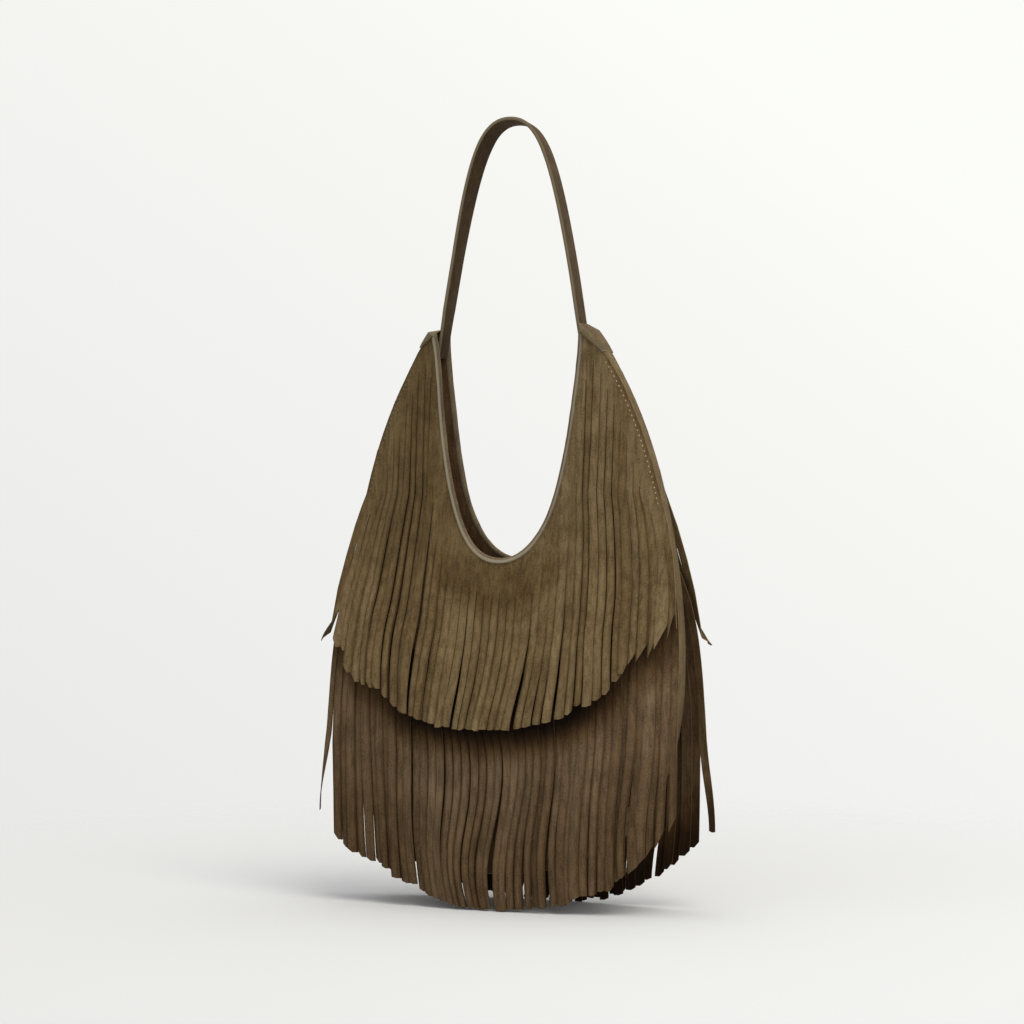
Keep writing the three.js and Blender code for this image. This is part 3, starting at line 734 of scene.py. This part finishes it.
def edged(name, deep, pale, painted):
    """Closer napped suede, mixed towards a paler edge colour where the attribute ridge is set."""
    made = suede(name, deep, pale, pale, 0.6)
    tree = made.node_tree
    skin = tree.nodes["Principled BSDF"]
    body = skin.inputs["Base Color"].links[0].from_socket
    ridge = add(tree, "ShaderNodeAttribute", attribute_name="ridge").outputs["Fac"]
    paint = add(
        tree,
        "ShaderNodeMix",
        {"Factor": ridge, "A": body, "B": linear(painted)},
        data_type="RGBA",
    )
    tree.links.new(paint.outputs["Result"], skin.inputs["Base Color"])
    return made


# smoother, greyer suede, whose crest shows as a pale line round the mouth: edge paint and a painted
# highlight
rim_suede = edged("rim binding suede", "57493a", "74664e", "9a917b")
# the roll's radius, how far its middle lies from the mouth's edge into the panel and outwards from
# the panel's middle, its rings and sides, and the share of the edge left free at each peak
ROLL, ROLL_IN, ROLL_OUT = 2.7, 1.5, 1.35
RIM_RINGS, ROLL_SIDES, RIM_END = 261, 24, 0.0065
for side, node_name in ((-1, "front_rim_binding"), (1, "back_rim_binding")):
    along = np.linspace(-1 + RIM_END, 1 - RIM_END, RIM_RINGS)
    line = spread(mouth_path, 1 - np.abs(along)) * np.stack([np.sign(along), along**0], 1)
    run = np.gradient(line, axis=0)
    run /= np.linalg.norm(run, axis=1, keepdims=True)
    into = np.stack([run[:, 1], -run[:, 0]], 1)
    turns = np.arange(ROLL_SIDES) * 2 * np.pi / ROLL_SIDES
    section = ROLL * np.stack([np.cos(turns), np.sin(turns)], 1)
    # the roll is hand sewn, so it swells and shrinks a little along the mouth
    swell = 1 + 0.05 * noise(RIM_RINGS, 9, 5 + side) + 0.03 * noise(RIM_RINGS, 3, 8 + side)
    inward = section[None, :, 0] * swell[:, None] + ROLL_IN
    level = section[None, :, 1] * swell[:, None] + ROLL_OUT
    flat = line[:, None, :] + into[:, None, :] * inward[..., None]
    out = half_depth(flat[..., 0], flat[..., 1]) + level
    rings = np.stack([flat[..., 0], side * out, flat[..., 1]], -1)
    facing = np.cos(turns - math.radians(80))
    # the pale crest, edge paint with a painted highlight, is broad and pale on the left arm and at
    # the mouth's foot, thin on the right
    thin = rise(line[:, 0], 5, 40)[:, None]
    ridge = (0.9 - 0.3 * thin) * rise(facing, 0.8 + 0.12 * thin, 0.97 + 0.02 * thin)
    if side < 0:
        rings, ridge = rings[:, ::-1], ridge[:, ::-1]
    binding = loft(node_name + "_strip", rings, rim_suede, ridge)
    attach(binding, "root")
    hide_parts(node_name)


# Strap: one flat band of doubled suede, 22 mm wide, that arches from peak to peak with its face
# turned sideways. Its cut edges are painted paler, and both ends run on inside the peaks.
_, strap_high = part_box("strap")
# the height of the band's middle line at the crown, half its width and thickness, how far it runs
# on inside a peak, and its rings
CROWN = strap_high.z / MM - 2.9
STRAP_HALF, STRAP_HALF_THICK, TAIL, STRAP_RINGS = 11, 1.6, 22, 241
# suede pressed close by wear, darker than the fringe, with a thin pale line at each painted edge
strap_suede = edged("strap suede", "4a3c2b", "6d5d46", "7d7159")
arch = bezier([(0, CROWN), (27.85, CROWN), (39.9, CROWN - 34.3), (63.3, PEAK)], shares)
last = arch[-1] - arch[-2]
tail = arch[-1] + last / np.linalg.norm(last) * [[TAIL / 2], [TAIL]]
half_path = np.concatenate([arch, tail])
path = np.concatenate([half_path[:0:-1] * [-1, 1], half_path])
path = spread(path, np.linspace(0, 1, STRAP_RINGS))
run = np.gradient(path, axis=0)
run /= np.linalg.norm(run, axis=1, keepdims=True)
outward = np.stack([-run[:, 1], run[:, 0]], 1)
section = rounded(STRAP_HALF, STRAP_HALF_THICK, 1.1)
# from 20 mm above the peaks to its ends it narrows evenly, by 3 mm on each side
NARROWED, NARROWS_ABOVE = 3, 20
narrowing = np.clip((PEAK + NARROWS_ABOVE - path[:, 1]) / (NARROWS_ABOVE + TAIL), 0, 1)
narrow = 1 - NARROWED / STRAP_HALF * narrowing
across, thick = section[:, 0] * narrow[:, None], np.tile(section[:, 1], (STRAP_RINGS, 1))
# the band is twisted by up to 9 degrees: most near the crown's left, less lower down
turn_at = [0, 0.07, 0.2, 0.3, 0.42, 0.6, 0.9, 1]
turn = np.interp(np.linspace(0, 1, STRAP_RINGS), turn_at, [0, 2.5, 1, -4, -9, -4, -4, 0])
turn = np.radians(turn)[:, None]
across, thick = (
    across * np.cos(turn) - thick * np.sin(turn),
    across * np.sin(turn) + thick * np.cos(turn),
)
flat = path[:, None, :] + outward[:, None, :] * thick[..., None]
rings = np.stack([flat[..., 0], across, flat[..., 1]], -1)
ridge = 0.8 * rise(np.abs(section[:, 0]), STRAP_HALF - 0.8, STRAP_HALF - 0.1)
strap = loft("strap_band", rings, strap_suede, ridge)
# darker on the inner face, and painted shade where it enters the peaks
inner_face = rise(-section[:, 1], -0.4, 1.2)
tone = (0.63 - 0.18 * inner_face) * (1 - 0.35 * rise(PEAK - path[:, 1:], -12, 6))
strap.data.attributes["tone"].data.foreach_set("value", tone.ravel())
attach(strap, "root")
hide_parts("strap")


# Strap tabs: a saddle of the same suede folded over the outside of each peak. Its neck lies on the
# strap, and its lips lap onto the front and the back and narrow down the side seam.
def seam_frame(drop):
    """A place on the right side seam, some way down from the peak, and the way outwards there."""
    run_length = np.linalg.norm(np.diff(seam_path, axis=0), axis=1).sum()
    here, ahead_of = spread(seam_path, np.array([drop, drop + 2]) / run_length)
    step = (ahead_of - here) / np.linalg.norm(ahead_of - here)
    return here, np.array([-step[1], step[0]])


# brown suede a little darker than the fringe, paler along the edges of the fold
tab_suede = edged("tab suede", "4c3e29", "6b5b41", "867a5f")
# how far the fold's inner face clears the middle of the panels
TAB_CLEAR = 3.2
for direction, node_name in ((-1, "strap_tab_left"), (1, "strap_tab_right")):
    # the right tab starts higher on the strap and reaches further down the seam
    above, length = (6, 24) if direction > 0 else (3, 16)
    neck = arch[np.searchsorted(-arch[:, 1], -(PEAK + above))]
    neck_run = (arch[-1] - neck) / np.linalg.norm(arch[-1] - neck)
    neck_out = np.array([-neck_run[1], neck_run[0]])
    # a station: its place, the way out, the fold's half width, and how far its lips reach in
    stations = [(neck + 1.1 * neck_out, neck_out, 9.6, 0.6)]
    for drop in np.linspace(0, length, 17):
        here, out = seam_frame(drop)
        lip = 5 - 4 * drop / length
        half = half_depth(here[0] - lip, here[1]) + TAB_CLEAR
        stations.append((here, out, half, lip))
    rings = []
    for here, out, half, lip in stations:
        # each ring runs round the inside of the fold, and back round the outside
        inner = [(0.3, -half), (0.3, half), (-lip, half)]
        outer = [(-lip, half + 0.9), (0.3 - lip / 2, half + 1.3), (0.6, half + 1.3)]
        back = 1.3 - 0.2 * (lip < 2)
        outer += [(back - 0.3, half + 0.6), (back, half - 0.8), (back, 0), (back, -half + 0.8)]
        outer += [(back - 0.3, -half - 0.6), (0.6, -half - 1.3), (0.3 - lip / 2, -half - 1.4)]
        outer += [(-lip, -half - 0.9), (-lip, -half)]
        section = np.array(inner + outer)
        flat = here + section[:, :1] * out
        rings.append(np.stack([direction * flat[:, 0], section[:, 1], flat[:, 1]], 1))
    rings = np.array(rings)
    if direction > 0:
        rings = rings[:, ::-1]
    ridge = np.zeros(rings.shape[:2])
    ridge[-1] = 0.7
    ridge[:, [2, 3, 11, 12]] = 0.5
    tab = loft(node_name + "_saddle", rings, tab_suede, ridge)
    tab.data.set_sharp_from_angle(angle=math.radians(50))
    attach(tab, "root")
    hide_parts(node_name)


# Stitching: tan waxed thread in short flat stitches, down both faces beside the side seams and
# along both rims, 4.5 mm apart. It has sunk into the nap along the rims; down the left side it sits
# a little lower and is painted darker, as shade.
def spun(name, deep, pale):
    """Waxed thread: mottling between two colours, 1.1 mm across, coarser than the plies of the
    real one, which are too fine to show. It gives the eye a row of short pale dashes."""
    made, tree = new_material(name)
    fibre = add(tree, "ShaderNodeTexCoord").outputs["Object"]
    fibre = add(tree, "ShaderNodeTexNoise", {"Vector": fibre, "Scale": 900.0}).outputs["Fac"]
    fibre = add(tree, "ShaderNodeValToRGB", {"Fac": fibre}, stops=[(0.3, deep), (0.7, pale)])
    fibre = fibre.outputs["Color"]
    skin = add(tree, "ShaderNodeBsdfPrincipled", {"Base Color": fibre, "Roughness": 0.7})
    add(tree, "ShaderNodeOutputMaterial", {"Surface": skin.outputs[0]})
    return made


thread = spun("waxed tan thread", "8c7c5d", "b1a17e")
# darker thread: sunk into the nap on the rims, painted shade on the left seams
sunk_and_shaded_thread = spun("sunk and shaded olive thread", "5e5038", "7d6e50")


def stitches(name, side, path, lift, length, radius, material, pitch=4.5):
    """Small capsules along a line on one face, each an octagonal rod with narrowed ends."""
    count = int(np.linalg.norm(np.diff(path, axis=0), axis=1).sum() / pitch)
    marks = (np.arange(count) + 0.5) / count
    spots = spread(path, marks)
    ahead_of = spread(path, marks + 0.25 / count)
    step = (ahead_of - spots) / np.linalg.norm(ahead_of - spots, axis=1, keepdims=True)
    turns = np.arange(8) * np.pi / 4
    corners, faces = [], []
    for (x, z), (run_x, run_z) in zip(spots, step):
        first = len(corners)
        out = half_depth(x, z) + lift
        for reach, size in ((-0.5, 0.4), (-0.32, 1), (0.32, 1), (0.5, 0.4)):
            for turn in turns:
                lateral = size * radius * math.cos(turn)
                corners.append(
                    (
                        x + reach * length * run_x - lateral * run_z,
                        side * (out + size * radius * math.sin(turn)),
                        z + reach * length * run_z + lateral * run_x,
                    )
                )
        for ring in range(3):
            for turn in range(8):
                a = first + ring * 8 + turn
                b = first + ring * 8 + (turn + 1) % 8
                faces.append([a, b, b + 8, a + 8])
        faces.append([first + turn for turn in range(7, -1, -1)])
        faces.append([first + 24 + turn for turn in range(8)])
    if side < 0:
        faces = [face[::-1] for face in faces]
    made = place(name, lean(np.array(corners)), faces, material)
    made.data.shade_smooth()
    return made


def offset(path, away):
    """A line beside a path, at a distance to its left."""
    run = np.gradient(path, axis=0)
    run /= np.linalg.norm(run, axis=1, keepdims=True)
    return path + away * np.stack([-run[:, 1], run[:, 0]], 1)


# the seam's row lies 3.2 mm inside the seam and ends above the widest place, the rim's row 6.6 mm
# from the mouth's edge
seam_part = flank_path[(flank_path[:, 1] < PEAK - 24) & (flank_path[:, 1] > 285)]
seam_line = offset(seam_part, -3.2)
rim_line = offset(mouth_path, 6.6)
rim_line = rim_line[rim_line[:, 1] < PEAK - 10]
for side, face in ((-1, "front"), (1, "back")):
    for mirror, hand in ((-1, "left"), (1, "right")):
        for line, kind, lift, length, radius, material in (
            (seam_line, "seam", 3.0, 1.7, 0.65, thread),
            (rim_line, "rim", 2.8, 1.5, 0.35, sunk_and_shaded_thread),
        ):
            # the left seams sit lower and take the darker thread: painted shade
            if kind == "seam" and hand == "left":
                lift, material = 2.8, sunk_and_shaded_thread
            name = f"{face}_{kind}_stitches_{hand}"
            row = stitches(name, side, line * [mirror, 1], lift, length, radius, material)
            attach(row, "root")
